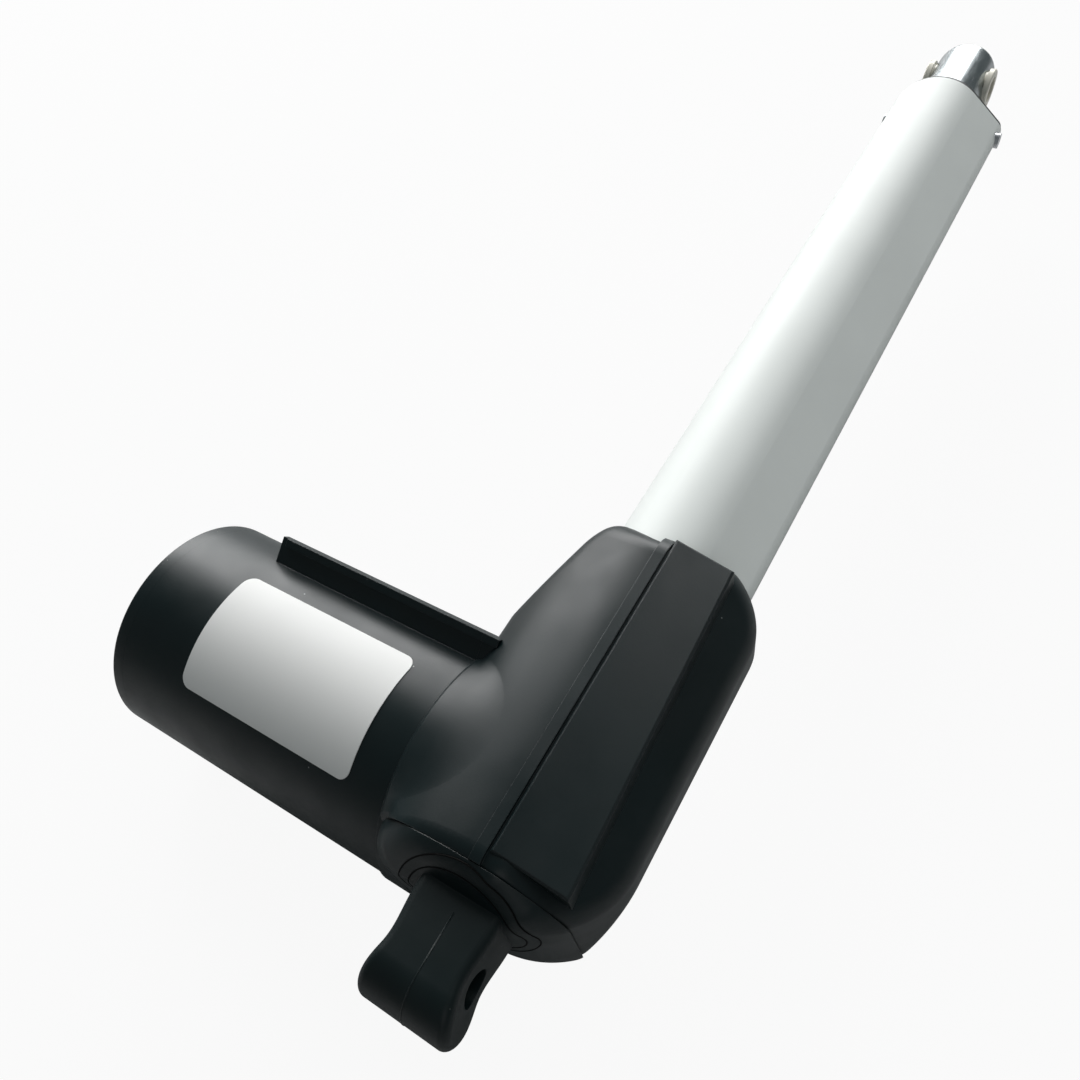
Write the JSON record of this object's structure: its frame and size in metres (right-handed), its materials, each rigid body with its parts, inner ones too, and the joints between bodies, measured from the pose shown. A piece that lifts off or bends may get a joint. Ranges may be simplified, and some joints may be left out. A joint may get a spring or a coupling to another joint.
{
  "type": "electric linear actuator",
  "caption": "Electric linear actuator: a motor at right angles drives a chromed rod out of a grey tube through worm gears in a black housing, with a cross-bored eye at each end.",
  "frame": {"origin": "centre of the back fixture's bore", "axes": "+X along the tube from the back eye to the rod eye, +Y along the motor away from the gears, +Z towards the side with the label"},
  "size_m": [0.4498, 0.1827, 0.0871],
  "materials": {
    "shell_black": "fine satin moulding",
    "fixture_black": "fine satin moulding",
    "tube_grey": "satin, light grey coat",
    "rod_chrome": "polished",
    "steel": "ground",
    "bronze": "turned",
    "cream_plastic": "smooth",
    "gear_plastic": "smooth",
    "dark_plastic": "moulded",
    "seal_rubber": "matte",
    "label_white": "satin film, blank",
    "magnet": "matte ferrite",
    "copper": "enamelled",
    "carbon": "matte",
    "board_green": "lacquered"
  },
  "bodies": {
    "fixed_body": {"gear_shell_left": "shell_black", "gear_shell_right": "shell_black", "cover_panel": "shell_black", "end_collar": "shell_black", "motor_housing": "shell_black", "lock_ring": "fixture_black", "back_fixture": "fixture_black", "outer_tube": "tube_grey", "tube_end_guide": "dark_plastic", "rod_wiper": "seal_rubber", "tube_end_pins": "steel", "load_plate": "steel", "spindle_bearing_outer": "steel", "spindle_bearing_rollers": "steel", "spindle_front_bush": "bronze", "worm_end_bush": "bronze", "motor_front_plate": "steel", "motor_front_bearing": "bronze", "motor_can": "steel", "motor_magnet_upper": "magnet", "motor_magnet_lower": "magnet", "brush_plate": "dark_plastic", "carbon_brushes": "carbon", "motor_rear_bush": "bronze", "label_blank": "label_white", "power_inlet": "dark_plastic", "inlet_pins": "bronze", "limit_switch_board": "board_green", "limit_switch_in": "dark_plastic", "limit_switch_out": "dark_plastic"},
    "turning_spindle": {"spindle": "steel", "worm_wheel": "gear_plastic", "spindle_bearing_inner": "steel"},
    "turning_motor": {"motor_shaft": "steel", "worm": "steel", "armature_core": "steel", "armature_windings": "copper", "commutator": "copper"},
    "moving_rod": {"spindle_nut": "bronze", "rod_tube": "rod_chrome", "rod_eye": "rod_chrome", "rod_eye_bush_left": "cream_plastic", "rod_eye_bush_right": "cream_plastic"}
  },
  "joints": [
    {"name": "motor_spin", "type": "hinge", "parent": "fixed_body", "child": "turning_motor", "pos_m": [0.0515, 0, -0.025], "axis": [0, 1, 0], "range_deg": [0, 387000]},
    {"name": "spindle_spin", "type": "hinge", "parent": "fixed_body", "child": "turning_spindle", "pos_m": [0, 0, 0], "axis": [1, 0, 0], "range_deg": [0, 19350.5]},
    {"name": "rod_slide", "type": "slide", "parent": "fixed_body", "child": "moving_rod", "axis": [1, 0, 0], "range_m": [0, 0.215]}
  ],
  "couplings": [
    {"joint": "spindle_spin", "follows": "motor_spin", "ratio": 0.05},
    {"joint": "rod_slide", "follows": "motor_spin", "m_per_rad": 0.000031831}
  ]
}
